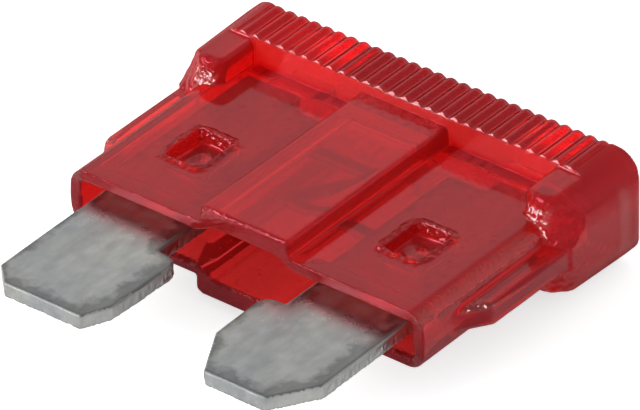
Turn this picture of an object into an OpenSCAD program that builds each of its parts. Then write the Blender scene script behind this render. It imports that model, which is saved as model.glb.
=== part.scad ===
// Automotive blade fuse, standard blade size.
// It lies on its broad side: X is the width, Y runs from the blade tips to the
// finger grip, and Z is the thickness. The origin is under the middle of the fuse,
// on the plane that the grip rests on. All but the shoulders is mirrored about the
// mid-plane.

/* [Overall] */
// Length from the blade tips to the end of the grip
fuse_l = 18.6; // [17.5:0.1:22.4]
// Width of the grip at its end face
grip_w = 19.1; // [18.7:0.1:23]
// Thickness of the grip
grip_t = 5.1; // [4.9:0.1:6.2]

/* [Grip] */
// Length of the fluted band, along Y
band_l = 2.5; // [2:0.1:3]
// How much each end of the grip leans out, in mm for each mm of length
grip_flare = 0.04; // [0:0.01:0.06]
// Radius of the long edges at both ends of the grip
grip_end_r = 1.9; // [1:0.1:2.3]
// Radius where the broad faces turn into the end face
grip_top_r = 0.5; // [0.2:0.1:1.2]
// Radius of the upright edges at the corners of the end face
grip_corner_r = 0.65; // [0.3:0.05:0.9]
// Number of flutes' ridges across the band
ridge_count = 27; // [15:2:31]
// Distance from one ridge to the next
ridge_pitch = 0.6; // [0.5:0.002:0.64]
// Width of a ridge
ridge_w = 0.34; // [0.2:0.02:0.44]
// Depth of a flute
flute_d = 0.17; // [0.08:0.01:0.25]

/* [Shoulders] */
// Length of the blocks under the ends of the grip, along Y
shoulder_l = 2.4; // [1.6:0.1:2.8]
// How far the blocks' upper faces lie below the grip's
shoulder_drop = 0.2; // [0.1:0.05:0.4]
// How far the blocks' undersides lie above the grip's
shoulder_rise = 0.6; // [0.1:0.05:0.7]
// How far the front of a block leans back over its height
shoulder_lean = 1; // [0.2:0.1:1.2]
// Width of a block, from the inner side to the end of the grip
shoulder_w = 2.35; // [1.8:0.05:2.4]
// Radius of the upright edge at the front of a block's outer side
shoulder_r = 1.6; // [0.4:0.1:2]

/* [Body] */
// Thickness of the body's narrow side walls
wall = 0.45; // [0.35:0.05:0.5]
// Thickness of the body's broad walls over the plates
face_wall = 0.8; // [0.7:0.05:0.9]
// Draft of the body's narrow sides, from the mid-plane to a broad face
body_draft = 0.12; // [0:0.02:0.3]
// Radius of the body's long edges
body_edge_r = 0.7; // [0.1:0.05:0.8]
// Distance from the end of the hollow to the fluted band
hollow_stop = 0.05; // [0:0.05:0.8]
// Length over which the hollow narrows from the open end
mouth_l = 1.2; // [0.6:0.1:2]
// Size of the bevel where the body meets the grip
root_bevel = 0.45; // [0.2:0.05:0.6]

/* [Centre rib] */
// Width of the rib at its foot
rib_foot_w = 4.8; // [4.4:0.1:5.4]
// Width of the rib at its broad face
rib_face_w = 4.1; // [3.8:0.1:4.3]
// Thickness over both ribs
rib_t = 4; // [3.6:0.1:4.2]
// Width of the hollow inside the ribs
rib_hollow_w = 3.4; // [3:0.1:3.5]
// Wall thickness of the rib
rib_wall = 0.8; // [0.4:0.05:0.9]
// How far the hollow in the ribs stops short of the grip
rib_hollow_stop = 1; // [0.3:0.1:1.5]

/* [Side fins] */
// Thickness of a fin
fin_t = 1; // [0.8:0.1:1.2]
// How far a fin stands out of the body's side at the mid-plane
fin_out = 0.85; // [0.7:0.05:0.95]
// Distance from the open end to where a fin starts
fin_start = 1.9; // [1:0.05:2.5]
// Length of the slanted front of a fin, along Y
fin_slant = 1.3; // [0.8:0.1:1.8]
// Radius of a fin's outer edges
fin_r = 0.15; // [0.05:0.05:0.35]

/* [Stakes] */
// How far a stake lies outside the middle of its blade
stake_offset = 0.55; // [0.3:0.05:0.8]
// Distance of a stake from the open end
stake_y = 3.82; // [3.4:0.02:5]
// Width of the pocket over a stake, along X
stake_w = 1.65; // [1.5:0.05:1.9]
// Length of the pocket over a stake, along Y
stake_l = 2.1; // [1.9:0.1:2.4]
// Depth of the pocket below the body's broad face
stake_depth = 0.6; // [0.4:0.05:0.65]
// Rim between the pocket's wall and the post in the blade
stake_rim = 0.25; // [0.2:0.05:0.35]

/* [Test openings] */
// How far a test opening lies outside the middle of its blade
test_offset = 0.55; // [0.1:0.05:0.9]
// Width of a test opening
test_w = 2; // [1.2:0.1:2.4]
// Height of a test opening
test_h = 1.4; // [0.8:0.1:1.6]

/* [Blades] */
// Width of a blade
blade_w = 5.2; // [5:0.05:5.3]
// Thickness of a blade
blade_t = 0.65; // [0.5:0.05:0.8]
// Distance between the middles of the blades
blade_pitch = 9.3; // [9.2:0.1:9.6]
// How far the blades stand out of the housing
blade_out = 6.43; // [5:0.01:7.5]
// Distance from the open end to the step on a blade's inner edge
neck_out = 1.28; // [0.8:0.02:2]
// Depth of the step on a blade's inner edge
neck_step = 0.95; // [0.5:0.05:1.1]
// Width and length of the corner cuts at the tip of the left blade
left_cut = [0.75, 1.1];
// Width and length of the corner cuts at the tip of the right blade
right_cut = [1.2, 1.9];

/* [Plates inside the housing] */
// How far a plate is wider than the blade, at its outer edge
plate_step = 0.15; // [0.1:0.05:0.4]
// Distance from the open end to where the blade widens into the plate
plate_in = 0.65; // [0.3:0.05:1]
// Distance from the plate's far edge to the end of the hollow
plate_gap = 0.15; // [0.1:0.05:0.4]
// Width of the notch in the plate's far inner corner
notch_w = 1.8; // [1:0.1:2]
// Length of that notch, along Y
notch_l = 0.9; // [0.5:0.05:1]

/* [Link] */
// Width of the link
link_w = 0.55; // [0.4:0.05:0.7]
// Thickness of the link
link_t = 0.3; // [0.2:0.05:0.5]
// Distance of the link's far stroke from the end of the plates
link_far = 2.25; // [1.5:0.05:2.5]
// Distance between the link's near and far strokes
link_span = 3.25; // [2.4:0.05:4.8]
// Distance of the far stroke's turn from the middle of the fuse
far_turn = 0.5; // [0.2:0.1:1.2]
// Distance of the near stroke's turn from the middle of the fuse
near_turn = 1; // [0.2:0.1:1.2]
// Length of the straight piece of the link at each turn, along Y
link_drop = 0.45; // [0.3:0.05:0.9]

/* [Fits] */
// Clearance between the housing and the metal at the stakes
fit_gap = 0.05; // [0.02:0.01:0.08]
// Gap between the plates' outer edges and the body's side walls
side_gap = 0.48; // [0.2:0.02:0.6]
// Gap between the plates' broad faces and the body's broad walls
face_gap = 0.125; // [0.1:0.025:0.25]
// The same gap at the open end, where the hollow is widest
mouth_gap = 0.475; // [0.3:0.025:0.55]

/* [Hidden] */
housing_color = [0.78, 0.08, 0.08];
metal_color = [0.62, 0.63, 0.64];
mid_z = grip_t / 2;
tip_y = -fuse_l / 2;
end_y = fuse_l / 2;
open_y = tip_y + blade_out;
band_y = end_y - band_l;
shoulder_y = band_y - shoulder_l;
hollow_end_y = band_y - hollow_stop;
overlap = 0.2;
// Half heights over the mid-plane
blade_h = blade_t / 2;
hollow_h = blade_h + face_gap;
body_h = hollow_h + face_wall;
mouth_h = blade_h + mouth_gap;
rib_h = rib_t / 2;
grip_h = grip_t / 2;
// Half widths from the middle
blade_outer = (blade_pitch + blade_w) / 2;
blade_inner = (blade_pitch - blade_w) / 2;
plate_inner = blade_inner + neck_step;
plate_outer = blade_outer + plate_step;
hollow_x = plate_outer + side_gap;
body_x = hollow_x + wall + body_draft;
fin_x = body_x + fin_out;
grip_x = grip_w / 2;
stake_x = blade_pitch / 2 + stake_offset;
test_x = blade_pitch / 2 + test_offset;
plate_end_y = hollow_end_y - plate_gap;
flank_y = end_y - grip_corner_r;
stake_mid_y = open_y + stake_y;
link_far_y = plate_end_y - link_far;
link_near_y = link_far_y - link_span;
neck_r = 0.35;
arc_steps = 8;
smooth = 48;

// Points of an arc about a centre, for the outlines below
function arc(centre, r, from, to) =
    [for (i = [0:arc_steps])
        let (a = from + (to - from) * i / arc_steps)
        [centre[0] + r * cos(a), centre[1] + r * sin(a)]];

// Half width of the grip at a place along Y
function grip_edge(y) = grip_x - grip_flare * (flank_y - y);

// A shape on +X, and its mirror image on -X
module both_sides() {
    children();
    mirror([1, 0, 0]) children();
}

// A shape above the mid-plane, and its mirror image below it
module both_faces() {
    children();
    translate([0, 0, grip_t]) mirror([0, 0, 1]) children();
}

// An outline drawn in X and Z, made solid from one place to another along Y
module along_y(from, to) {
    translate([0, to, mid_z]) rotate([90, 0, 0]) linear_extrude(to - from) children();
}

// An outline drawn in Y and Z, made solid along X about a middle
module along_x(mid, w) {
    translate([mid - w / 2, 0, mid_z]) rotate([90, 0, 90]) linear_extrude(w) children();
}

// Cross-section of the body: sides with draft both ways, and round long edges
module body_section() {
    r = body_edge_r;
    lean = atan(body_draft / body_h);
    cz = body_h - r;
    cx = body_x - body_draft * cz / body_h - r / cos(lean);
    polygon(concat(
        [[body_x, 0]], arc([cx, cz], r, lean, 90),
        arc([-cx, cz], r, 90, 180 - lean), [[-body_x, 0]],
        arc([-cx, -cz], r, 180 + lean, 270), arc([cx, -cz], r, 270, 360 - lean)
    ));
}

// Cross-section of both fins, with round outer edges
module fin_section() {
    cx = fin_x - fin_r;
    cz = fin_t / 2 - fin_r;
    polygon(concat(
        arc([cx, cz], fin_r, 0, 90), arc([-cx, cz], fin_r, 90, 180),
        arc([-cx, -cz], fin_r, 180, 270), arc([cx, -cz], fin_r, 270, 360)
    ));
}

// Cross-section of both ribs in one
module rib_section() {
    foot = rib_foot_w / 2;
    face = rib_face_w / 2;
    polygon([
        [-face, -rib_h], [face, -rib_h], [foot, -body_h], [foot, body_h],
        [face, rib_h], [-face, rib_h], [-foot, body_h], [-foot, -body_h]
    ]);
}

// Everything inside the grip's +X side, which leans out and has round long edges
module inside_flank() {
    r = grip_end_r;
    reach = 2 * grip_w;
    translate([grip_x, flank_y, mid_z]) rotate([90, 0, -atan(grip_flare)])
        translate([0, 0, -grip_w]) linear_extrude(2 * grip_w) polygon(concat(
            arc([-r, grip_h - r], r, 0, 90), [[-reach, grip_h], [-reach, -grip_h]],
            arc([-r, r - grip_h], r, 270, 360)
        ));
}

// Plan outline of the grip and its shoulders, with rounded corners
module grip_plan() {
    end_c = [grip_x - grip_corner_r, end_y - grip_corner_r];
    front_c = [grip_edge(shoulder_y) - shoulder_r, shoulder_y + shoulder_r];
    polygon(concat(
        arc(end_c, grip_corner_r, 0, 90), arc([-end_c[0], end_c[1]], grip_corner_r, 90, 180),
        arc([-front_c[0], front_c[1]], shoulder_r, 180, 270), arc(front_c, shoulder_r, 270, 360)
    ));
}

// Side outline of the fluted band, with its broad faces sunk by some depth
module band_profile(sunk) {
    h = grip_h - sunk;
    cy = end_y - grip_top_r;
    polygon(concat(
        [[band_y, -h]], arc([cy, -h + grip_top_r], grip_top_r, 270, 360),
        arc([cy, h - grip_top_r], grip_top_r, 0, 90), [[band_y, h]]
    ));
}

// Side outline of a shoulder block, leaning back over and under the fin
module shoulder_profile() {
    upper = grip_h - shoulder_drop;
    under = grip_h - shoulder_rise;
    fin_h = fin_t / 2;
    polygon([
        [shoulder_y, -fin_h], [shoulder_y + shoulder_lean, -under], [band_y + overlap, -under],
        [band_y + overlap, upper], [shoulder_y + shoulder_lean, upper], [shoulder_y, fin_h]
    ]);
}

// Everything at the wide end, before it is cut to the grip's rounded outline
module grip_blocks() {
    along_x(0, grip_w) band_profile(flute_d);
    fluted_w = ridge_pitch * (ridge_count - 1);
    for (i = [0:ridge_count - 1]) {
        along_x(i * ridge_pitch - fluted_w / 2, ridge_w) band_profile(0);
    }
    plain_w = (grip_w - fluted_w - ridge_w) / 2 - ridge_pitch / 2;
    both_sides() along_x(grip_x - plain_w / 2, plain_w) band_profile(0);
    both_sides() along_x(grip_x - shoulder_w / 2, shoulder_w) shoulder_profile();
}

module grip() {
    intersection() {
        grip_blocks();
        inside_flank();
        mirror([1, 0, 0]) inside_flank();
        linear_extrude(grip_t) grip_plan();
    }
}

// Bevels where the body and the rib run into the grip
module root_bevels() {
    body_foot = 2 * (body_x - shoulder_w);
    along_x(0, body_foot) both_profiles(body_h, grip_h - flute_d - overlap);
    along_x(0, rib_face_w) both_profiles(rib_h, grip_h - flute_d);
}

// A triangle above and one below, from a face's height up to a limit
module both_profiles(h, limit) {
    rise = min(root_bevel, limit - h);
    for (side = [-1, 1]) {
        polygon([
            [band_y - root_bevel, side * (h - overlap)], [band_y - root_bevel, side * h],
            [band_y, side * (h + rise)], [band_y + overlap, side * (h + rise)],
            [band_y + overlap, side * (h - overlap)]
        ]);
    }
}

// Thin fins along both narrow sides, from a slanted front to the shoulders
module fins() {
    y0 = open_y + fin_start;
    root_x = body_x - wall / 2;
    intersection() {
        both_sides() linear_extrude(grip_t) polygon([
            [root_x, y0 - fin_slant * wall / 2 / fin_out], [fin_x, y0 + fin_slant],
            [fin_x, shoulder_y + overlap], [root_x, shoulder_y + overlap]
        ]);
        along_y(open_y, band_y) fin_section();
    }
}

// The hollow that the metal slides into, open at the blade end
module hollow() {
    front_y = open_y - overlap;
    narrow_y = open_y + mouth_l;
    along_x(0, 2 * hollow_x) polygon([
        [front_y, -mouth_h], [open_y, -mouth_h], [narrow_y, -hollow_h], [hollow_end_y, -hollow_h],
        [hollow_end_y, hollow_h], [narrow_y, hollow_h], [open_y, mouth_h], [front_y, mouth_h]
    ]);
    rib_hollow_h = rib_h - rib_wall;
    rib_hollow_l = hollow_end_y - rib_hollow_stop - open_y;
    translate([-rib_hollow_w / 2, open_y - overlap, mid_z - rib_hollow_h])
        cube([rib_hollow_w, rib_hollow_l + overlap, 2 * rib_hollow_h]);
}

// Two windows in the end face, for a test probe to reach the plates
module test_openings() {
    both_sides() translate([test_x - test_w / 2, hollow_end_y - overlap, mid_z - test_h / 2])
        cube([test_w, end_y - hollow_end_y + 2 * overlap, test_h]);
}

// A block centred on a stake, from one height over the mid-plane to another
module stake_block(w, l, from, to) {
    translate([stake_x - w / 2, stake_mid_y - l / 2, mid_z + from]) cube([w, l, to - from]);
}

// Plastic pressed down around each stake, and the posts through the plates
module stake_plugs() {
    plug_w = stake_w + 2 * stake_rim;
    plug_l = stake_l + 2 * stake_rim;
    both_sides() both_faces() stake_block(plug_w, plug_l, blade_h + fit_gap, body_h - wall);
    post_w = stake_w - 2 * stake_rim;
    post_l = stake_l - 2 * stake_rim;
    both_sides() stake_block(post_w, post_l, -hollow_h, hollow_h);
}

// Square pockets that the staking punch leaves in both broad faces
module stake_pockets() {
    both_sides() both_faces() stake_block(stake_w, stake_l, body_h - stake_depth, body_h + overlap);
}

module housing() {
    color(housing_color) difference() {
        union() {
            difference() {
                union() {
                    along_y(open_y, band_y + overlap) body_section();
                    along_y(open_y, band_y + overlap) rib_section();
                    grip();
                    root_bevels();
                    fins();
                }
                hollow();
                test_openings();
            }
            stake_plugs();
        }
        stake_pockets();
    }
}

// Outline of one blade outside the housing, as on the right-hand side
module blade_outline(cut) {
    neck_y = open_y - neck_out;
    polygon(concat(
        [
            [blade_inner, tip_y + cut[1]], [blade_inner + cut[0], tip_y],
            [blade_outer - cut[0], tip_y], [blade_outer, tip_y + cut[1]],
            [blade_outer, open_y + plate_in], [plate_inner, open_y + plate_in], [plate_inner, neck_y]
        ],
        arc([blade_inner + neck_r, neck_y - neck_r], neck_r, 90, 180)
    ));
}

// Outline of the plate inside the housing, as on the right-hand side
module plate_outline() {
    start_y = open_y + plate_in;
    notch_y = plate_end_y - notch_l;
    polygon([
        [plate_inner, start_y - overlap], [blade_outer, start_y - overlap],
        [blade_outer, start_y], [plate_outer, start_y + plate_step],
        [plate_outer, plate_end_y], [plate_inner + notch_w, plate_end_y],
        [plate_inner + notch_w, notch_y], [plate_inner, notch_y]
    ]);
}

// Hole in a plate for the plastic post, as on the right-hand side
module stake_hole() {
    hole_w = stake_w - 2 * stake_rim + 2 * fit_gap;
    hole_l = stake_l - 2 * stake_rim + 2 * fit_gap;
    translate([stake_x - hole_w / 2, stake_mid_y - hole_l / 2]) square([hole_w, hole_l]);
}

// A straight stroke of the link between two points, with round ends
module stroke(p, q) {
    d = q - p;
    translate(p) rotate(atan2(d[1], d[0])) translate([0, -link_w / 2]) square([norm(d), link_w]);
    translate(p) circle(d = link_w, $fn = smooth);
    translate(q) circle(d = link_w, $fn = smooth);
}

// The thin link: a flat Z from the left plate's far end to the right plate
module link_outline() {
    route = [
        [-plate_inner - link_w, link_far_y], [far_turn, link_far_y],
        [far_turn, link_far_y - link_drop], [-near_turn, link_near_y + link_drop],
        [-near_turn, link_near_y], [plate_inner + link_w, link_near_y]
    ];
    for (i = [0:len(route) - 2]) stroke(route[i], route[i + 1]);
}

module fuse_element() {
    color(metal_color) {
        translate([0, 0, mid_z - blade_h]) linear_extrude(blade_t) {
            difference() {
                union() {
                    blade_outline(right_cut);
                    plate_outline();
                    mirror([1, 0]) blade_outline(left_cut);
                    mirror([1, 0]) plate_outline();
                }
                stake_hole();
                mirror([1, 0]) stake_hole();
            }
        }
        translate([0, 0, mid_z - link_t / 2]) linear_extrude(link_t) link_outline();
    }
}

housing();
fuse_element();
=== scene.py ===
import math

import bpy
import numpy as np
from mathutils import Matrix, Vector


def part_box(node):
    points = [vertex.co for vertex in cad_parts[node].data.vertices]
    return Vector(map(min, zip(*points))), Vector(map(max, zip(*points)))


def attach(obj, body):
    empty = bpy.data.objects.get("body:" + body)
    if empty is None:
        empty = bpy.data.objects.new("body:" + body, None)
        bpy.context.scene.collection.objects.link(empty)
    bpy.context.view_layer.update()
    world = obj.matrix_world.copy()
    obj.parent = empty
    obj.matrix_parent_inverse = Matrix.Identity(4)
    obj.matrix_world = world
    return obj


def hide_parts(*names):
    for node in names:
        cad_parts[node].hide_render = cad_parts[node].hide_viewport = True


MM = 0.001                # the sizes below are in millimetres, and Blender's are in metres

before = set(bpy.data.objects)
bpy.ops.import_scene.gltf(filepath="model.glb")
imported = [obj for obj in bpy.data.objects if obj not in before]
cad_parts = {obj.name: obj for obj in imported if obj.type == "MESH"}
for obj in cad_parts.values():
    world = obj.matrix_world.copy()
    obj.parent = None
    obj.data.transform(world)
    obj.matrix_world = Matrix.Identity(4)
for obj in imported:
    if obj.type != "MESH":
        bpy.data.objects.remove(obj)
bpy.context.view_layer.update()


def box_mm(node):
    """A CAD node's lowest corner, its highest corner and its size, in mm to a thousandth."""
    low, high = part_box(node)
    return [[round(v / MM, 3) for v in corner] for corner in (low, high, high - low)]


# ---------------------------------------------------------------- sizes, in mm and radians
# X is the width, Y runs from the blade tips to the grip, Z is the thickness. An _X or _H is measured
# from the middle, a _W, _L or _T from side to side, and an _R is the radius of a round edge or a fillet.
# A _COS is the cosine of a slanting face's angle, which keeps its field near a true distance.
house_low, house_high, house_size = box_mm("housing")
strip_low, strip_high, strip_size = box_mm("fuse_element")
MID = house_low[2] + house_size[2] / 2      # height of the mid-plane
OPEN_Y = house_low[1]     # open end of the housing
END_Y = house_high[1]     # end face of the grip
BAND_Y = 6.8              # front of the fluted band
SHARP_R = 0.02            # an edge that looks sharp

# the body, with a rib along its middle and a fin on each side
BODY_X, BODY_H, BODY_DRAFT, BODY_EDGE_R = 8.45, 1.25, 0.12, 0.7
BODY_SIDE_COS = 0.995
BODY_INTO_BAND = 0.5
FRONT_R = 0.07            # round edge at the open end
RIB_FRONT_R = 0.1         # how much rounder that edge is on the rib
RIB_X, RIB_H, RIB_DRAFT = 2.25, 2.0, 0.085
RIB_R_TOP, RIB_R_LOW, RIB_FOOT_R = 0.16, 0.38, 0.1
FIN_X, FIN_H, FIN_R, FIN_Y, FIN_SLANT = 9.3, 0.5, 0.22, -0.97, 1.3
FIN_CORNER_R, FIN_FOOT_R = 0.15, 0.14

# the hollow, which is deeper under the ribs, and the test windows in the end face
HOLLOW_X, HOLLOW_H, HOLLOW_END_Y, HOLLOW_R, HOLLOW_END_R = 7.88, 0.45, 6.75, 0.12, 0.1
MOUTH_H, MOUTH_L, MOUTH_COS = 0.8, 1.2, 0.96
MOUTH_R_TOP, MOUTH_R_LOW = 0.07, 0.16
RIB_HOLLOW_X, RIB_HOLLOW_H, RIB_HOLLOW_END_Y = 1.7, 1.2, 5.75
RIB_WALL_SLOPE, RIB_WALL_COS = 0.9, 0.74
RIB_HOLLOW_R, RIB_HOLLOW_END_R, RIB_HOLLOW_FOOT_R = 0.35, 0.3, 0.3
PLUG_EDGE_R, PLUG_FOOT_R = 0.03, 0.08
WINDOW_X, WINDOW_W, WINDOW_H, WINDOW_R = 5.2, 2.0, 0.7, 0.15
WINDOW_INTO_HOLLOW = 0.3

# the grip: a fluted head whose front edge is worn to a small facet
GRIP_X, GRIP_H = house_high[0], house_size[2] / 2
GRIP_FLARE, GRIP_END_R = 0.04, 1.9
GRIP_EDGE_R, GRIP_CORNER_R, FLANK_Y = 0.5, 0.65, 8.65
BAND_EDGE_R, BAND_FOOT_R = 0.04, 0.03
FACET_SLOPE, FACET_SIZE, FACET_R = 0.61, 0.065, 0.015
FACET_WORN, FACET_UNEVEN = 0.018, 0.006
WORN_X, WORN_NEAR, WORN_FAR = 0.3, 1.6, 3.0       # the stretch where the facet is widest
RIDGES, PITCH, FLUTE = 27, 0.598, 0.135

# the two shoulder blocks in front of the grip
SHOULDER_Y, SHOULDER_IN, SHOULDER_R, SHOULDER_EDGE_R = 4.4, 7.2, 0.25, 0.18
SHOULDER_TOP, SHOULDER_UNDER = 2.32, 1.95
SHOULDER_LEAN = 0.2
SHOULDER_FRONT_SCALE = 0.93                       # brings the slanting front's field near a distance
SWEEP_X, SWEEP_R = 7.9, 1.5                       # where the front curves back, and how
SHOULDER_FOOT_R, FLANK_R = 0.12, 0.03
SHOULDER_UNEVEN, SHOULDER_INTO_BAND = 0.02, 0.4

# the stakes: a pocket with a bead round it, over a post through the plate
STAKE_X, STAKE_Y, STAKE_W, STAKE_L, STAKE_R = 5.2, 0.95, 1.65, 2.1, 0.18
STAKE_RIM, STAKE_FLOOR, FLOOR_UNEVEN = 0.25, 0.72, 0.02
POCKET_DRAFT, POCKET_R, POCKET_EDGE_R = 0.15, 0.12, 0.08
BEAD_R, BEAD_OUT, BEAD_SINK, BEAD_FOOT_R, BEAD_UNEVEN = 0.15, 0.1, 0.06, 0.12, 0.03
POST_W, POST_L, POST_R, POST_INTO_BODY = 0.8, 1.1, 0.1, 0.1

# the zinc strip
TIP_Y, PLATE_X, PLATE_END_Y = strip_low[1], strip_high[0], strip_high[1]
BLADE_T = strip_size[2]
LINK_T, LINK_W, FIT, ZINC_EDGE_R = 0.3, 0.55, 0.05, 0.05
CUT_UNEVEN, OUTLINE_UNEVEN = 0.012, 0.004

rng = np.random.default_rng(7)


# ---------------------------------------------------------------- distance fields
def both(a, b, r):
    """Inside both shapes, with a round edge of radius r."""
    return np.minimum(np.maximum(a, b), -r) + np.hypot(np.maximum(a + r, 0), np.maximum(b + r, 0))


def either(a, b, r):
    """Inside one shape or the other, with a fillet of radius r."""
    return np.maximum(np.minimum(a, b), r) - np.hypot(np.maximum(r - a, 0), np.maximum(r - b, 0))


def cut(a, b, r):
    """Shape a without shape b."""
    return both(a, -b, r)


def slab(v, mid, half):
    """Inside when v is less than half away from mid."""
    return np.abs(v - mid) - half


def ramp(v, a, b):
    """0 before a, 1 past b, and smooth between them."""
    t = np.clip((v - a) / (b - a), 0, 1)
    return t * t * (3 - 2 * t)


def fade(v, a, b):
    """1 before a, 0 past b, and smooth between them."""
    return ramp(-v, -b, -a)


class Waves:
    """Smooth seeded noise: a sum of plane waves in random directions."""

    def __init__(self, length, count=14):
        k = rng.normal(size=(count, 3))
        k /= np.linalg.norm(k, axis=1)[:, None]
        self.k = k * (2 * math.pi / (length * rng.uniform(0.7, 1.5, count)))[:, None]
        self.phase = rng.uniform(0, 2 * math.pi, count)

    def __call__(self, x, y, z):
        total = 0
        for k, p in zip(self.k, self.phase):
            total = total + np.sin(k[0] * x + k[1] * y + k[2] * z + p)
        return total / math.sqrt(len(self.phase) / 2)


grain = Waves(0.34)
swell = Waves(2.6, 8)
shear = Waves(0.22)


def from_middle(x, z):
    """How far from the middle of the width and from the mid-plane."""
    return np.abs(x), np.abs(z - MID)


def flute(x):
    """Depth of the flutes across the band."""
    reach = PITCH * RIDGES / 2
    turn = 2 * math.pi * x / PITCH
    wave = 0.5 - 0.5 * np.cos(turn)
    return FLUTE * wave * (1 - ramp(np.abs(x), reach - 0.08, reach + 0.02))


def shoulder_front(ax, az):
    """How far back the front of a shoulder block is."""
    above = az - FIN_H
    lean = SHOULDER_LEAN * np.maximum(above, 0)
    out = np.clip(ax - SWEEP_X, 0, SWEEP_R - 0.02)
    sweep = SWEEP_R - np.sqrt(SWEEP_R ** 2 - out ** 2)
    inner_corner = 0.25 * fade(ax, 7.1, 7.7)
    return SHOULDER_Y + lean + sweep * (0.4 + np.clip(above, 0, 1.9)) + inner_corner


def stake_outline(x, y):
    """Signed distance to the outline of a stake's pocket, seen from above."""
    return both(slab(np.abs(x), STAKE_X, STAKE_W / 2), slab(y, STAKE_Y, STAKE_L / 2), STAKE_R)


def body_shape(x, y, z):
    """The body with its ribs and the uneven beads round the pockets."""
    ax, az = from_middle(x, z)
    side = (ax - (BODY_X - BODY_DRAFT / BODY_H * az)) * BODY_SIDE_COS
    body = both(side, az - BODY_H, BODY_EDGE_R)
    rib_r = np.where(z > MID, RIB_R_TOP, RIB_R_LOW)
    rib = both(ax - RIB_X + RIB_DRAFT * (z - MID), az - RIB_H, rib_r)
    body = either(body, rib, RIB_FOOT_R)
    bead = np.hypot(stake_outline(x, y) - BEAD_OUT, az - BODY_H + BEAD_SINK) - BEAD_R
    body = either(body, bead - BEAD_UNEVEN * grain(x, y, z), BEAD_FOOT_R)
    body = both(body, y - BAND_Y - BODY_INTO_BAND, SHARP_R)
    return both(body, OPEN_Y - y, FRONT_R + RIB_FRONT_R * ramp(z - MID, BODY_H, RIB_H))


def fin_shape(x, y, z):
    """The side fins, with slanted fronts."""
    ax, az = from_middle(x, z)
    out = FIN_X - BODY_X
    slant = ((ax - BODY_X) * FIN_SLANT - (y - FIN_Y) * out) / math.hypot(FIN_SLANT, out)
    fin = both(both(ax - FIN_X, slant, FIN_CORNER_R), az - FIN_H, FIN_R)
    return both(fin, y - BAND_Y, SHARP_R)


def head_shape(x, y, z):
    """The fluted head, still without its flanks."""
    az = np.abs(z - MID)
    head = both(az - (GRIP_H - flute(x)), y - END_Y, GRIP_EDGE_R)
    worn = FACET_SIZE + FACET_WORN * fade(np.abs(x - WORN_X), WORN_NEAR, WORN_FAR)
    worn = worn + FACET_UNEVEN * swell(x * 4, y, z)
    facet = (BAND_Y - y) * math.cos(FACET_SLOPE) + (az - GRIP_H) * math.sin(FACET_SLOPE) + worn
    return both(both(head, BAND_Y - y, BAND_EDGE_R), facet, FACET_R)


def block_shape(x, y, z):
    """The shoulder blocks, still without their flanks."""
    ax, az = from_middle(x, z)
    height = np.where(z > MID, SHOULDER_TOP, SHOULDER_UNDER)
    block = both(az - height, SHOULDER_IN - ax, SHOULDER_EDGE_R)
    front = (shoulder_front(ax, az) - y) * SHOULDER_FRONT_SCALE
    block = both(block, front - SHOULDER_UNEVEN * grain(x, y, z), SHOULDER_R)
    return both(block, y - BAND_Y - SHOULDER_INTO_BAND, SHARP_R)


def housing_outside(x, y, z):
    """The whole outside, without the pockets."""
    ax, az = from_middle(x, z)
    body = either(body_shape(x, y, z), fin_shape(x, y, z), FIN_FOOT_R)
    side = ax + GRIP_FLARE * np.maximum(FLANK_Y - y, 0) - GRIP_X
    grip = either(block_shape(x, y, z), head_shape(x, y, z), SHOULDER_FOOT_R)
    grip = both(grip, both(side, az - GRIP_H, GRIP_END_R), FLANK_R)
    whole = either(body, grip, BAND_FOOT_R)
    return both(whole, both(side, y - END_Y, GRIP_CORNER_R), SHARP_R)


def housing_inside(x, y, z):
    """The hollow round the strip, without the plugs under the pockets, and with the test windows."""
    ax, az = from_middle(x, z)
    open_up = (MOUTH_H - HOLLOW_H) * np.clip((OPEN_Y + MOUTH_L - y) / MOUTH_L, 0, 1.3)
    hollow = both(ax - HOLLOW_X, (az - HOLLOW_H - open_up) * MOUTH_COS, HOLLOW_R)
    hollow = both(hollow, y - HOLLOW_END_Y, HOLLOW_END_R)
    slope = (ax - RIB_HOLLOW_X - RIB_WALL_SLOPE * (RIB_HOLLOW_H - az)) * RIB_WALL_COS
    rib = both(slope, az - RIB_HOLLOW_H, RIB_HOLLOW_R)
    rib = both(rib, y - RIB_HOLLOW_END_Y, RIB_HOLLOW_END_R)
    hollow = either(hollow, rib, RIB_HOLLOW_FOOT_R)
    plug = both(stake_outline(x, y) - STAKE_RIM, (BLADE_T / 2 + FIT) - az, PLUG_EDGE_R)
    hollow = cut(hollow, plug, PLUG_FOOT_R)
    window = both(slab(ax, WINDOW_X, WINDOW_W / 2), az - WINDOW_H, WINDOW_R)
    window = both(window, HOLLOW_END_Y - WINDOW_INTO_HOLLOW - y, SHARP_R)
    return np.minimum(hollow, window)


def housing(x, y, z):
    """The hollow housing with its posts and pockets."""
    ax, az = from_middle(x, z)
    mouth_r = np.where(z < MID, MOUTH_R_LOW, MOUTH_R_TOP)
    shell = cut(housing_outside(x, y, z), housing_inside(x, y, z), mouth_r)
    post = both(slab(ax, STAKE_X, POST_W / 2), slab(y, STAKE_Y, POST_L / 2), POST_R)
    shell = np.minimum(shell, both(post, az - (BLADE_T / 2 + FIT + POST_INTO_BODY), SHARP_R))
    floor_h = STAKE_FLOOR + FLOOR_UNEVEN * swell(x * 2, y * 2, z)
    pocket = both(stake_outline(x, y) + POCKET_DRAFT * (BODY_H - az), floor_h - az, POCKET_R)
    return cut(shell, pocket, POCKET_EDGE_R)


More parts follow.
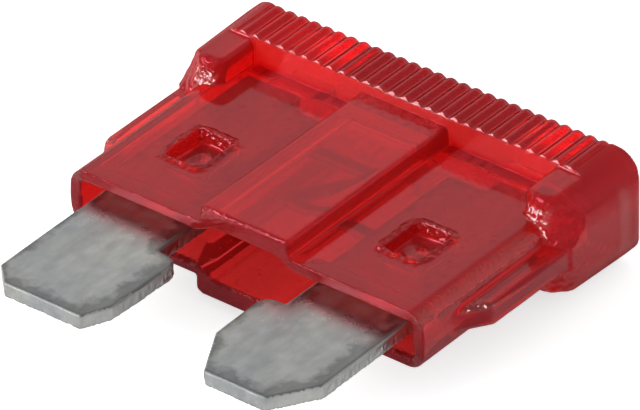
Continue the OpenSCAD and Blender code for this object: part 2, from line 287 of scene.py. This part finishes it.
# outlines of the blades with their plates, and the middle line of the link
RIGHT_BLADE = [
    (2.04, -7.1), (3.22, TIP_Y), (6.1, TIP_Y), (7.3, -7.4), (7.28, -2.22), (PLATE_X, -1.9),
    (PLATE_X, PLATE_END_Y), (4.8, PLATE_END_Y), (4.7, 5.75), (3.0, 5.7), (2.95, -4.1), (2.5, -4.13),
    (2.15, -4.28), (2.0, -4.6),
]
LEFT_BLADE = [
    (-2.05, -8.1), (-2.6, TIP_Y), (-6.28, TIP_Y), (-7.13, -8.45), (-7.2, -2.22), (-PLATE_X, -1.9),
    (-PLATE_X, PLATE_END_Y), (-4.8, PLATE_END_Y), (-4.7, 5.75), (-3.0, 5.7), (-3.02, -4.2), (-2.5, -4.24),
    (-2.15, -4.38), (-1.98, -4.7),
]
LINK = [(-3.3, 4.35), (0.5, 4.35), (0.5, 3.9), (-1.0, 1.55), (-1.0, 1.1), (3.3, 1.1)]


def line_distance(p, q, x, y):
    """Distance to the straight line from p to q."""
    ex, ey = q[0] - p[0], q[1] - p[1]
    wx, wy = x - p[0], y - p[1]
    t = np.clip((wx * ex + wy * ey) / (ex * ex + ey * ey), 0, 1)
    return np.hypot(wx - ex * t, wy - ey * t)


def polygon(points, x, y):
    """Signed distance to a closed outline."""
    d = np.full(np.shape(x + y), 1e9)
    inside = np.zeros(d.shape, bool)
    for p, q in zip(points, points[1:] + points[:1]):
        d = np.minimum(d, line_distance(p, q, x, y))
        if p[1] != q[1]:
            crosses = (y >= min(p[1], q[1])) & (y < max(p[1], q[1]))
            inside ^= crosses & (x < p[0] + (y - p[1]) / (q[1] - p[1]) * (q[0] - p[0]))
    return np.where(inside, -d, d)


def plates(x, y):
    """Signed distance to the outline of both blades with their plates."""
    flat = np.minimum(polygon(LEFT_BLADE, x, y), polygon(RIGHT_BLADE, x, y))
    hole = both(slab(np.abs(x), STAKE_X, POST_W / 2 + FIT), slab(y, STAKE_Y, POST_L / 2 + FIT), POST_R)
    return cut(flat, hole, SHARP_R)


def element(x, y, z):
    """The zinc strip, whose cut edges are rougher towards the bottom."""
    az = np.abs(z - MID)
    rough = CUT_UNEVEN * np.maximum(1 - shear(x, y, z * 0.4), 0) * fade(z - MID, -0.1, 0.3)
    flat = plates(x, y) + rough + OUTLINE_UNEVEN * np.abs(swell(x, y, z))
    plate = both(flat, az - BLADE_T / 2, ZINC_EDGE_R)
    link = np.full(np.shape(x + y), 1e9)
    for p, q in zip(LINK[:-1], LINK[1:]):
        link = np.minimum(link, line_distance(p, q, x, y) - LINK_W / 2)
    return np.minimum(plate, both(link, az - LINK_T / 2, ZINC_EDGE_R))


# ---------------------------------------------------------------- surface mesh from a field
PULLS, LONGEST_PULL, LEAST_SLOPE = 4, 0.03, 0.2


def gradient(field, p, e=0.004):
    """The field's slope at the points p, measured over a short distance e."""
    x, y, z = p.T
    g = np.stack([
        field(x + e, y, z) - field(x - e, y, z),
        field(x, y + e, z) - field(x, y - e, z),
        field(x, y, z + e) - field(x, y, z - e),
    ], 1)
    return g / (2 * e)


def crossing_points(value, cell, axes):
    """For each cell, the mean of the points where its edges cross the surface."""
    total, hits = np.zeros((len(cell[0]), 3)), np.zeros(len(cell[0]))
    for axis in range(3):
        others = [a for a in range(3) if a != axis]
        for da in (0, 1):
            for db in (0, 1):
                start = list(cell)
                start[others[0]] = start[others[0]] + da
                start[others[1]] = start[others[1]] + db
                stop = list(start)
                stop[axis] = stop[axis] + 1
                a, b = value[tuple(start)], value[tuple(stop)]
                crosses = (a < 0) != (b < 0)
                t = np.where(crosses, a / np.where(crosses, a - b, 1), 0)
                p = np.stack([axes[m][start[m]] for m in range(3)], 1).astype(float)
                p[:, axis] += t * (axes[axis][stop[axis]] - axes[axis][start[axis]])
                total += p * crosses[:, None]
                hits += crosses
    return total / hits[:, None]


def facing_quads(inside, index):
    """One quad for each grid edge that crosses the surface, turned outwards."""
    quads = []
    for axis in range(3):
        lo = [slice(1, -1)] * 3
        hi = [slice(1, -1)] * 3
        lo[axis], hi[axis] = slice(0, -1), slice(1, None)
        a, b = inside[tuple(lo)], inside[tuple(hi)]
        i, j, k = np.nonzero(a != b)
        base = [i, j, k]
        for m in range(3):
            if m != axis:
                base[m] = base[m] + 1
        u, v = [(1, 2), (2, 0), (0, 1)][axis]
        corner = []
        for du, dv in ((-1, -1), (0, -1), (0, 0), (-1, 0)):
            c = list(base)
            c[u] = c[u] + du
            c[v] = c[v] + dv
            corner.append(index[tuple(c)])
        quad = np.stack(corner, 1)
        flip = b[i, j, k]
        quad[flip] = quad[flip][:, ::-1]
        quads.append(quad)
    return np.concatenate(quads)


def surface(field, xs, ys, zs):
    """Quads over the zero level of a field on a rectilinear grid (surface nets), pulled onto it."""
    value = field(xs[:, None, None], ys[None, :, None], zs[None, None, :])
    inside = value < 0
    nx, ny, nz = value.shape
    count = np.zeros((nx - 1, ny - 1, nz - 1), np.int8)
    for i in (0, 1):
        for j in (0, 1):
            for k in (0, 1):
                count += inside[i:nx - 1 + i, j:ny - 1 + j, k:nz - 1 + k]
    active = (count > 0) & (count < 8)
    index = np.full(active.shape, -1, np.int64)
    index[active] = np.arange(active.sum())
    points = crossing_points(value, np.nonzero(active), (xs, ys, zs))
    quads = facing_quads(inside, index)
    for _ in range(PULLS):
        x, y, z = points.T
        g = gradient(field, points)
        step = (field(x, y, z) / np.maximum((g ** 2).sum(1), LEAST_SLOPE))[:, None] * g
        points = points - np.clip(step, -LONGEST_PULL, LONGEST_PULL)
    return points, quads


def mesh_object(name, points, quads, normals):
    """A smooth mesh with its own normals, scaled to metres."""
    mesh = bpy.data.meshes.new(name)
    mesh.vertices.add(len(points))
    mesh.vertices.foreach_set("co", (points * MM).astype(np.float32).ravel())
    mesh.loops.add(quads.size)
    mesh.loops.foreach_set("vertex_index", quads.astype(np.int32).ravel())
    mesh.polygons.add(len(quads))
    mesh.polygons.foreach_set("loop_start", np.arange(0, quads.size, 4, dtype=np.int32))
    mesh.polygons.foreach_set("loop_total", np.full(len(quads), 4, np.int32))
    mesh.update(calc_edges=True)
    mesh.validate()
    mesh.polygons.foreach_set("use_smooth", np.ones(len(mesh.polygons), bool))
    mesh.normals_split_custom_set_from_vertices([tuple(n) for n in normals])
    obj = bpy.data.objects.new(name, mesh)
    bpy.context.scene.collection.objects.link(obj)
    return obj


def spaced(*pieces):
    """Grid lines from (start, stop, step) pieces laid end to end."""
    out = []
    for a, b, s in pieces:
        n = max(1, round((b - a) / s))
        out.append(np.linspace(a, b, n, endpoint=False))
    out.append(np.array([pieces[-1][1]]))
    return np.concatenate(out)


def build(name, field, xs, ys, zs):
    """The object over a field's zero level, with its points and normals."""
    points, quads = surface(field, xs, ys, zs)
    normals = gradient(field, points)
    normals /= np.maximum(np.linalg.norm(normals, axis=1), 1e-9)[:, None]
    print(name, "vertices", len(points), "triangles", 2 * len(quads))
    return mesh_object(name, points, quads, normals), points, normals


def store(obj, name, values):
    """Keeps one number for each vertex, which the materials read."""
    attribute = obj.data.attributes.new(name, "FLOAT", "POINT")
    attribute.data.foreach_set("value", values.astype(np.float32))


# ---------------------------------------------------------------- marks on the moulding
PAINTED_SHEEN_Y = 8.05            # middle of the painted sheen, a pale upright band on each flank


class Skin:
    """Where each vertex of the housing is, in mm, and which way it faces."""

    def __init__(self, points, normals):
        self.x, self.y, self.z = points.T
        self.ax, self.az = from_middle(self.x, self.z)
        self.forward = -normals[:, 1]
        self.up = normals[:, 2]
        self.off_middle = normals[:, 2] * np.sign(self.z - MID)
        self.inward = -normals[:, 0] * np.sign(self.x)


def block_front(s):
    """The coarse part of a shoulder block's front."""
    patch = ramp(s.ax, 7.35, 7.5) * fade(s.ax, 8.35, 8.55) * ramp(s.az, 0.6, 0.75) * fade(s.az, 1.8, 1.95)
    return patch * ramp(s.y, 4.2, 4.4) * fade(s.y, 5.2, 5.4) * ramp(s.forward, 0.5, 0.7)


def block_edge(s):
    """The outer stretch of a shoulder block's front edge."""
    return ramp(s.ax, 7.8, 8.0) * fade(s.ax, 8.4, 8.5) * ramp(s.az, 0.5, 0.9) * fade(s.y, 4.2, 4.6)


def pocket_rim(s):
    """The bead round a stake's pocket and the pocket's walls, without its floor."""
    return fade(np.abs(stake_outline(s.x, s.y) - 0.02), 0.2, 0.3) * ramp(s.az, 0.8, 0.95)


def fin_tip(s):
    """The top and the underside of a fin's slanted front."""
    return ramp(s.ax, 8.45, 8.6) * fade(s.y, 0.3, 0.6) * ramp(s.az, 0.25, 0.4)


def fin_edge(s):
    """The round edges over and under a fin's slanted front."""
    facing = ramp(s.off_middle, 0.15, 0.35) * fade(s.off_middle, 0.85, 0.97) * ramp(s.forward, 0.1, 0.25)
    return ramp(s.ax, 8.5, 8.65) * fade(s.y, 0.3, 0.5) * facing


def band_edge(s):
    """The worn front edge of the fluted band."""
    return fade(s.y, 6.92, 7.0) * ramp(s.y, 6.7, 6.78) * ramp(s.az, 2.3, 2.4)


def ridge_crests(s):
    """The crests of the ridges, and the whole stretch where the band's edge is worn most."""
    crests = ramp(np.cos(2 * math.pi * s.x / PITCH), -0.5, 0.1)
    return np.maximum(crests, fade(np.abs(s.x - WORN_X), WORN_NEAR, 2.8))


# painted shade: the crease at the foot of the band is drawn deeper red
def band_foot_shade(s):
    """The body and the wall beside the corner between them, from the rib to the shoulder blocks."""
    near = fade(np.hypot(s.y - BAND_Y, s.az - BODY_H), 0.42, 0.55) * ramp(s.az, 1.1, 1.2)
    return near * ramp(s.ax, RIB_X, RIB_X + 0.1) * fade(s.ax, 7.0, 7.2)


def band_wall_veil(s):
    """The upright front wall of the band, where a milky reflection veil is painted."""
    return fade(np.abs(s.y - BAND_Y), 0.04, 0.1) * ramp(s.forward, 0.6, 0.9) * ramp(s.az, 1.3, 1.6)


# painted shade: the hollow's side walls are drawn deeper red
def hollow_side_shade(s):
    """The side walls of the hollow, as far as they are seen through the open end."""
    near = fade(np.abs(s.ax - HOLLOW_X), 0.1, 0.2) * fade(s.az, 0.9, 1.0) * fade(s.y, 1.0, 3.0)
    return near * ramp(s.inward, 0.5, 0.8)


def painted_flank_sheen(s):
    """A painted sheen: a pale upright band on each flank of the grip."""
    return ramp(s.ax, 9.2, 9.35) * fade(np.abs(s.y - PAINTED_SHEEN_Y), 0.12, 0.38) * fade(s.az, 1.1, 1.9)


def mould_marks(points, normals):
    """Shares from 0 to 1 for each vertex of the housing, which the plastic reads.

    texture is how coarse the skin is, glint is where reflections are painted white and not red (painted
    highlights and a painted sheen), dots is how thick the glinting grains lie, dark is painted shade in a
    deeper red, and wall is a painted milky reflection veil on the band's front wall.
    """
    s = Skin(points, normals)
    block, edge, rim, tip, slant = block_front(s), block_edge(s), pocket_rim(s), fin_tip(s), fin_edge(s)
    band = band_edge(s)
    front = fade(s.y - OPEN_Y, 0.12, 0.27)               # the open end
    front_face = front * ramp(s.forward, 0.2, 0.5)
    lip = front_face * ramp(s.up, 0.15, 0.4)             # its upper edges
    far_wall = rim * ramp(s.forward, 0.25, 0.5)          # the wall of a pocket that faces the camera

    texture = 0.4 * block + 0.6 * rim + 0.3 * edge + 0.6 * tip + 0.1 * band + 0.15 * front + 0.5 * lip
    # painted highlights: reflections are tinted white, not red, on the block fronts, pocket rims, fin
    # edges, the band's crests and the lip, and as a painted sheen on the flanks
    painted_glint = block + 0.35 * rim + edge + tip + 0.5 * band * ridge_crests(s) + 0.1 * lip + slant
    painted_glint = painted_glint + 0.9 * painted_flank_sheen(s)
    dots = np.maximum.reduce([block, 0.68 * far_wall, 0.95 * slant, 0.75 * lip])
    # painted shade: deeper red on the pocket walls, in the crease at the band's foot, on the open end's
    # front faces and on the hollow's side walls
    painted_shade = 0.35 * rim + 0.62 * band_foot_shade(s) + 0.5 * front_face + hollow_side_shade(s)
    marks = {"texture": texture, "painted_glint": painted_glint, "dots": dots, "painted_shade": painted_shade, "wall": band_wall_veil(s)}
    return {name: np.clip(share, 0, 1) for name, share in marks.items()}


# ---------------------------------------------------------------- the two pieces
# The housing's grid has so many steps across each ridge and to each side, a little off the crests.
RIDGE_STEPS, SIDE_STEPS, OFF_CRESTS = 6, 97, 0.0007


def make_house():
    """The housing, on a grid that is finer at the open end and over the band's edges."""
    across = np.arange(-SIDE_STEPS, SIDE_STEPS + 1) * (PITCH / RIDGE_STEPS) + OFF_CRESTS
    along = spaced(
        (-3.1, -2.5, 0.085), (-2.5, 4.2, 0.155), (4.2, 6.72, 0.115), (6.72, 6.93, 0.035),
        (6.93, 8.6, 0.2), (8.6, 9.5, 0.1),
    )
    upward = spaced((-0.13, 2.0, 0.12), (2.0, 4.88, 0.0993), (4.88, 5.14, 0.04), (5.14, 5.23, 0.09))
    obj, points, normals = build("red_housing", housing, across, along, upward)
    for name, share in mould_marks(points, normals).items():
        store(obj, name, share)
    return obj


def make_metal():
    """The zinc strip, which stores how far in from its edges and how near a corner a vertex is."""
    obj, points, normals = build(
        "zinc_element", element,
        spaced((-7.9, 7.9, 0.091)), spaced((-9.5, 6.8, 0.091)), spaced((2.13, 2.97, 0.084)),
    )
    x, y, z = points.T
    more_right, more_front = 0.2, 0.12        # the darker edge band reaches further in from these two sides
    inset = -plates(x + more_right, y - more_front)
    upright = np.abs(normals[:, 2]) < 0.5     # the cut edges, which are not darkened
    store(obj, "inset", np.where(upright, 1, inset) * MM)
    from_corner = np.hypot(plates(x, y), np.abs(z - MID) - BLADE_T / 2)
    store(obj, "edge", fade(from_corner, 0.05, 0.16))
    return obj


# ---------------------------------------------------------------- materials
def node(tree, kind, **values):
    """A new node, whose sockets or settings get the values named."""
    n = tree.nodes.new(kind)
    for key, value in values.items():
        if key in n.inputs:
            n.inputs[key].default_value = value
        else:
            setattr(n, key, value)
    return n


class Tree:
    """A new material's nodes, with short ways to add and join them."""

    def __init__(self, name):
        self.material = bpy.data.materials.new(name)
        self.material.use_nodes = True
        self.nodes = self.material.node_tree
        self.nodes.nodes.clear()
        self.out = self.add("ShaderNodeOutputMaterial")
        self.place = self.add("ShaderNodeTexCoord").outputs["Object"]

    def add(self, kind, **values):
        return node(self.nodes, kind, **values)

    def join(self, a, b):
        self.nodes.links.new(a, b)

    def noise(self, scale, detail=3.0, stretch=None):
        """Noise over the object, whose axes can be scaled by stretch."""
        n = self.add("ShaderNodeTexNoise", Scale=scale, Detail=detail)
        place = self.place
        if stretch:
            m = self.add("ShaderNodeMapping", Scale=stretch)
            self.join(place, m.inputs["Vector"])
            place = m.outputs["Vector"]
        self.join(place, n.inputs["Vector"])
        return n.outputs["Fac"]

    def span(self, value, low, high, to_low, to_high):
        """The value's range from low to high, stretched to another range."""
        m = self.add("ShaderNodeMapRange")
        for key, v in (("From Min", low), ("From Max", high), ("To Min", to_low), ("To Max", to_high)):
            m.inputs[key].default_value = v
        self.join(value, m.inputs["Value"])
        return m.outputs["Result"]

    def maths(self, operation, a, b=0):
        m = self.add("ShaderNodeMath", operation=operation)
        for i, v in enumerate((a, b)):
            if isinstance(v, (int, float)):
                m.inputs[i].default_value = v
            else:
                self.join(v, m.inputs[i])
        return m.outputs[0]

    def mix(self, share, a, b):
        """A colour between a and b."""
        m = self.add("ShaderNodeMix", data_type="RGBA")
        self.join(share, m.inputs[0])
        for i, v in ((6, a), (7, b)):
            if isinstance(v, tuple):
                m.inputs[i].default_value = (*v, 1)
            else:
                self.join(v, m.inputs[i])
        return m.outputs[2]

    def mix_shaders(self, share, a, b):
        """A shader between a and b."""
        m = self.add("ShaderNodeMixShader")
        for i, v in enumerate((share, a, b)):
            self.join(v, m.inputs[i])
        return m.outputs[0]

    def add_shaders(self, a, b):
        m = self.add("ShaderNodeAddShader")
        self.join(a, m.inputs[0])
        self.join(b, m.inputs[1])
        return m.outputs[0]

    def along(self, axis):
        """One of the object's own coordinates, in metres."""
        s = self.add("ShaderNodeSeparateXYZ")
        self.join(self.place, s.inputs[0])
        return s.outputs[axis]

    def stored(self, name):
        """The number that the mesh stores for each vertex under this name."""
        return self.add("ShaderNodeAttribute", attribute_name=name).outputs["Fac"]

    def leaning(self, share):
        """The surface normal, turned by a share towards the slope of the band's facet."""
        above = self.maths("SIGN", self.maths("SUBTRACT", self.along(2), MID * MM))
        steep = self.add("ShaderNodeCombineXYZ", Y=-math.cos(FACET_SLOPE))
        self.join(self.maths("MULTIPLY", above, math.sin(FACET_SLOPE)), steep.inputs["Z"])
        turned = self.add("ShaderNodeMix", data_type="VECTOR")
        self.join(share, turned.inputs[0])
        self.join(self.add("ShaderNodeNewGeometry").outputs["Normal"], turned.inputs[4])
        self.join(steep.outputs[0], turned.inputs[5])
        whole = self.add("ShaderNodeVectorMath", operation="NORMALIZE")
        self.join(turned.outputs[1], whole.inputs[0])
        return whole.outputs[0]

    def bump(self, height, strength, distance, normal=None):
        """A normal that follows small heights, on top of another normal if there is one."""
        b = self.add("ShaderNodeBump", Distance=distance)
        if isinstance(strength, (int, float)):
            b.inputs["Strength"].default_value = strength
        else:
            self.join(strength, b.inputs["Strength"])
        self.join(height, b.inputs["Height"])
        if normal:
            self.join(normal, b.inputs["Normal"])
        return b.outputs["Normal"]


# Noise scales are per metre, and bump distances are in metres.
PLASTIC_IOR = 1.55
# the second red is painted shade, and the third a painted milky reflection veil
CLEAR_RED, PAINTED_SHADE_RED, PAINTED_VEIL_RED = (0.99, 0.12, 0.12), (0.35, 0.005, 0.005), (0.74, 0.19, 0.17)
# the second gloss tints the painted highlights white
RED_GLOSS, PAINTED_GLINT_TINT = (1.0, 0.12, 0.22), (1.0, 0.9, 0.92)
SLANTING_RED, SHADOW_GREY = (0.95, 0.25, 0.25, 1), (0.82, 0.8, 0.8, 1)
DEPTH_RED, DEPTH_DENSITY = (0.968, 0.53, 0.51, 1), 3200
HAZE_RED, HAZE_DENSITY, HAZE_FORWARD = (1.0, 0.3, 0.3, 1), 250, 0.85
GRAIN_SCALE, RIPPLE_SCALE, SPECK_SCALE, SMEAR_SCALE = 6500.0, 2500.0, 4600.0, 900.0
RIPPLE_BUMP, COARSE_BUMP, SPECK_BUMP = 0.00001, 0.00003, 0.00002


def plastic_skin(t, outside):
    """Fine unevenness, coarse patches, stray specks, and grains that catch the light."""
    thinned = t.span(t.stored("dots"), 0.0, 1.0, -0.3, 0.0)
    level = t.maths("ADD", t.noise(GRAIN_SCALE, 1.0), thinned)
    grains = t.maths("MULTIPLY", t.span(level, 0.5, 0.54, 0.0, 0.9), outside)
    fine = t.bump(t.noise(RIPPLE_SCALE), 0.15, RIPPLE_BUMP, t.leaning(grains))
    lumps = t.span(t.noise(GRAIN_SCALE, 1.0), 0.42, 0.58, 0.0, 1.0)
    coarse = t.bump(lumps, t.stored("texture"), COARSE_BUMP, fine)
    specks = t.span(t.noise(SPECK_SCALE, 0.0), 0.76, 0.8, 0.0, 1.0)
    return t.bump(specks, 0.5, SPECK_BUMP, coarse)


def plastic_depth(t):
    """Absorption, with a little scattering that goes mostly straight on."""
    soak = t.add("ShaderNodeVolumeAbsorption", Color=DEPTH_RED, Density=DEPTH_DENSITY)
    haze = t.add("ShaderNodeVolumeScatter", Color=HAZE_RED, Density=HAZE_DENSITY, Anisotropy=HAZE_FORWARD)
    return t.add_shaders(soak.outputs["Volume"], haze.outputs["Volume"])


def plastic():
    """Red see-through plastic, which reflects less than glass where it is seen at a slant."""
    t = Tree("red_plastic")
    outside = t.maths("SUBTRACT", 1.0, t.add("ShaderNodeNewGeometry").outputs["Backfacing"])
    p = t.add("ShaderNodeBsdfPrincipled", IOR=PLASTIC_IOR)
    p.inputs["Transmission Weight"].default_value = 0.92
    # painted shade: the base colour turns deeper red where shade is painted
    tint = t.mix(t.stored("painted_shade"), CLEAR_RED, PAINTED_SHADE_RED)
    # painted reflection veil: the band's front wall is drawn paler, less saturated red
    t.join(t.mix(t.stored("wall"), tint, PAINTED_VEIL_RED), p.inputs["Base Color"])
    # painted highlights: the reflection tint turns from red to white where highlights are painted
    t.join(t.mix(t.stored("painted_glint"), RED_GLOSS, PAINTED_GLINT_TINT), p.inputs["Specular Tint"])
    softer_on_grip = t.span(t.along(1), BAND_Y * MM, (BAND_Y + 0.3) * MM, 0.0, 0.12)
    rough = t.maths("ADD", t.span(t.noise(SMEAR_SCALE), 0.3, 0.7, 0.07, 0.12), softer_on_grip)
    t.join(rough, p.inputs["Roughness"])
    t.join(plastic_skin(t, outside), p.inputs["Normal"])

    through = t.add("ShaderNodeBsdfRefraction", Roughness=0.12, IOR=PLASTIC_IOR, Color=SLANTING_RED)
    slanting = t.span(t.add("ShaderNodeLayerWeight").outputs["Facing"], 0.5, 0.85, 0.0, 0.85)
    share = t.maths("MULTIPLY", slanting, outside)
    seen = t.mix_shaders(share, p.outputs["BSDF"], through.outputs["BSDF"])
    clear = t.add("ShaderNodeBsdfTransparent", Color=SHADOW_GREY)
    shadow = t.add("ShaderNodeLightPath").outputs["Is Shadow Ray"]
    t.join(t.mix_shaders(shadow, seen, clear.outputs["BSDF"]), t.out.inputs["Surface"])
    t.join(plastic_depth(t), t.out.inputs["Volume"])
    return t.material


ZINC_COOL, ZINC_WARM = (0.34, 0.35, 0.355), (0.41, 0.415, 0.39)
CLOUD_SCALE, MOTTLE_SCALE, SCRATCH_SCALE, PIT_SCALE, FLECK_SCALE = 350.0, 1800.0, 1500.0, 3200.0, 2600.0
EDGE_DARK_RAGGED, EDGE_DARK_FROM, EDGE_DARK_TO = 0.8, 0.2, 0.6          # mm in from the edge
COVERED_FROM, COVERED_TO = -3.4, -2.6                    # Y in mm, at the housing's lip
ZINC_BUMP = 0.00001


def zinc_colour(t):
    """Cloudy grey with short flecks, darker in a ragged band along the edges."""
    cloud = t.mix(t.span(t.noise(CLOUD_SCALE, 2.0), 0.35, 0.65, 0, 1), ZINC_COOL, ZINC_WARM)
    flecks = t.span(t.noise(FLECK_SCALE, 4.0, (1, 0.35, 1)), 0.3, 0.75, 0.86, 1.12)
    ragged = t.maths("MULTIPLY", t.span(t.noise(MOTTLE_SCALE, 6.0), 0, 1, -1, 1), EDGE_DARK_RAGGED * MM)
    inset = t.maths("ADD", t.stored("inset"), ragged)
    shade = t.maths("MULTIPLY", flecks, t.span(inset, EDGE_DARK_FROM * MM, EDGE_DARK_TO * MM, 0.55, 1.0))
    tone = t.add("ShaderNodeVectorMath", operation="SCALE")
    t.join(cloud, tone.inputs[0])
    t.join(shade, tone.inputs["Scale"])
    return tone.outputs[0]


def zinc():
    """Dull zinc, rougher at its corners and inside the housing."""
    t = Tree("zinc")
    p = t.add("ShaderNodeBsdfPrincipled", Metallic=1.0)
    t.join(zinc_colour(t), p.inputs["Base Color"])
    corner = t.maths("MULTIPLY", t.stored("edge"), 0.35)
    covered = t.span(t.along(1), COVERED_FROM * MM, COVERED_TO * MM, 0.0, 0.16)
    rough = t.span(t.noise(MOTTLE_SCALE), 0.3, 0.7, 0.24, 0.36)
    t.join(t.maths("ADD", rough, t.maths("MAXIMUM", corner, covered)), p.inputs["Roughness"])
    scratches = t.bump(t.noise(SCRATCH_SCALE, 3.0, (1, 0.12, 1)), 0.07, ZINC_BUMP)
    t.join(t.bump(t.noise(PIT_SCALE, 1.0), 0.03, ZINC_BUMP, scratches), p.inputs["Normal"])
    t.join(p.outputs["BSDF"], t.out.inputs["Surface"])
    return t.material


house = make_house()
metal = make_metal()
house.data.materials.append(plastic())
metal.data.materials.append(zinc())
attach(house, "root")
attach(metal, "root")
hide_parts("housing")
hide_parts("fuse_element")


# ---------------------------------------------------------------- floor, world, lights, camera
FLOOR_HALF, FLOOR_DROP = 3.0, 0.00002             # metres
FLOOR_GREY = (0.9, 0.9, 0.9, 1)
FLOOR_GLOW, SEEN_THROUGH, SEEN_REFLECTED = 0.65, 0.65, 0.3
WORLD_TILT = (0.15, 0.0, 1.0)
WORLD_STEPS = (                                   # height, from 0 at the horizon, and brightness
    (0.0, 0.5), (0.18, 0.65), (0.38, 0.95), (0.52, 0.98), (0.66, 0.75), (0.82, 0.42), (1.0, 0.38),
)


def backdrop_share(t):
    """How much of the floor's glow a ray sees: a camera ray all of it, and the others less."""
    path = t.add("ShaderNodeLightPath")
    through = t.maths("MULTIPLY", path.outputs["Is Transmission Ray"], SEEN_THROUGH)
    reflected = t.maths("MULTIPLY", path.outputs["Is Glossy Ray"], SEEN_REFLECTED)
    return t.maths("MAXIMUM", t.maths("MAXIMUM", through, reflected), path.outputs["Is Camera Ray"])


def make_floor():
    """A plain pale floor, which glows enough to be white and keeps the shadow."""
    mesh = bpy.data.meshes.new("floor")
    s = FLOOR_HALF
    mesh.from_pydata([(-s, -s, 0), (s, -s, 0), (s, s, 0), (-s, s, 0)], [], [(0, 1, 2, 3)])
    obj = bpy.data.objects.new("floor", mesh)
    obj.location.z = -FLOOR_DROP
    bpy.context.scene.collection.objects.link(obj)
    t = Tree("floor")
    lit = t.add("ShaderNodeBsdfDiffuse", Color=FLOOR_GREY)
    glow = t.add("ShaderNodeEmission")
    t.join(t.maths("MULTIPLY", backdrop_share(t), FLOOR_GLOW), glow.inputs["Strength"])
    t.join(t.add_shaders(lit.outputs["BSDF"], glow.outputs["Emission"]), t.out.inputs["Surface"])
    mesh.materials.append(t.material)


def make_world():
    """Brightest some 30 degrees up, and dimmer overhead and at the horizon."""
    world = bpy.data.worlds.new("studio")
    bpy.context.scene.world = world
    world.use_nodes = True
    t = world.node_tree
    t.nodes.clear()
    out = node(t, "ShaderNodeOutputWorld")
    where = node(t, "ShaderNodeTexCoord")
    height = node(t, "ShaderNodeVectorMath", operation="DOT_PRODUCT")
    height.inputs[1].default_value = WORLD_TILT
    t.links.new(where.outputs["Generated"], height.inputs[0])
    fall = node(t, "ShaderNodeValToRGB")
    while len(fall.color_ramp.elements) < len(WORLD_STEPS):
        fall.color_ramp.elements.new(0.5)
    for stop, (at, level) in zip(fall.color_ramp.elements, WORLD_STEPS):
        stop.position = at
        stop.color = (level, level, level, 1)
    t.links.new(height.outputs["Value"], fall.inputs["Fac"])
    light = node(t, "ShaderNodeBackground")
    t.links.new(fall.outputs["Color"], light.inputs["Color"])
    t.links.new(light.outputs[0], out.inputs["Surface"])


SOFTBOX_AT, SOFTBOX_SIZE, SOFTBOX_WATTS = (-0.31, -0.45, 0.25), (0.34, 0.26), 3.6      # metres


def make_softbox():
    """The one lamp, to the left in front, which the band's facets and the grains reflect."""
    data = bpy.data.lights.new("softbox", "AREA")
    data.shape = "RECTANGLE"
    data.size, data.size_y = SOFTBOX_SIZE
    data.energy = SOFTBOX_WATTS
    obj = bpy.data.objects.new("softbox", data)
    obj.location = SOFTBOX_AT
    obj.rotation_mode = "QUATERNION"
    obj.rotation_quaternion = (-Vector(SOFTBOX_AT)).to_track_quat("-Z", "Y")
    bpy.context.scene.collection.objects.link(obj)


CAMERA_AT = (175.489, -216.263, 191.284)                  # mm
AZIMUTH, ELEVATION, ROLL = 38.842, 33.943, -1.09          # degrees
LENS, SENSOR = 506.25, 36                                 # mm
NEAR_CLIP, FAR_CLIP = 0.01, 20                            # metres


def make_camera():
    """The photograph's camera: far off, to the right in front and above."""
    data = bpy.data.cameras.new("camera")
    data.sensor_width = SENSOR
    data.lens = LENS
    data.clip_start, data.clip_end = NEAR_CLIP, FAR_CLIP
    obj = bpy.data.objects.new("camera", data)
    a, e, r = (math.radians(v) for v in (AZIMUTH, ELEVATION, ROLL))
    back = Vector((math.sin(a) * math.cos(e), -math.cos(a) * math.cos(e), math.sin(e)))
    right = Vector((math.cos(a), math.sin(a), 0))
    up = back.cross(right)
    right, up = right * math.cos(r) + up * math.sin(r), up * math.cos(r) - right * math.sin(r)
    place = Matrix.Identity(4)
    for i in range(3):
        place[i][0], place[i][1], place[i][2], place[i][3] = right[i], up[i], back[i], CAMERA_AT[i] * MM
    obj.matrix_world = place
    bpy.context.scene.collection.objects.link(obj)
    bpy.context.scene.camera = obj


make_floor()
make_world()
make_softbox()
make_camera()
scene = bpy.context.scene
scene.view_settings.view_transform = "Standard"
scene.cycles.max_bounces = 24
scene.cycles.transmission_bounces = 20
scene.cycles.glossy_bounces = 12
scene.cycles.diffuse_bounces = 4
scene.cycles.volume_bounces = 6
scene.cycles.caustics_refractive = False
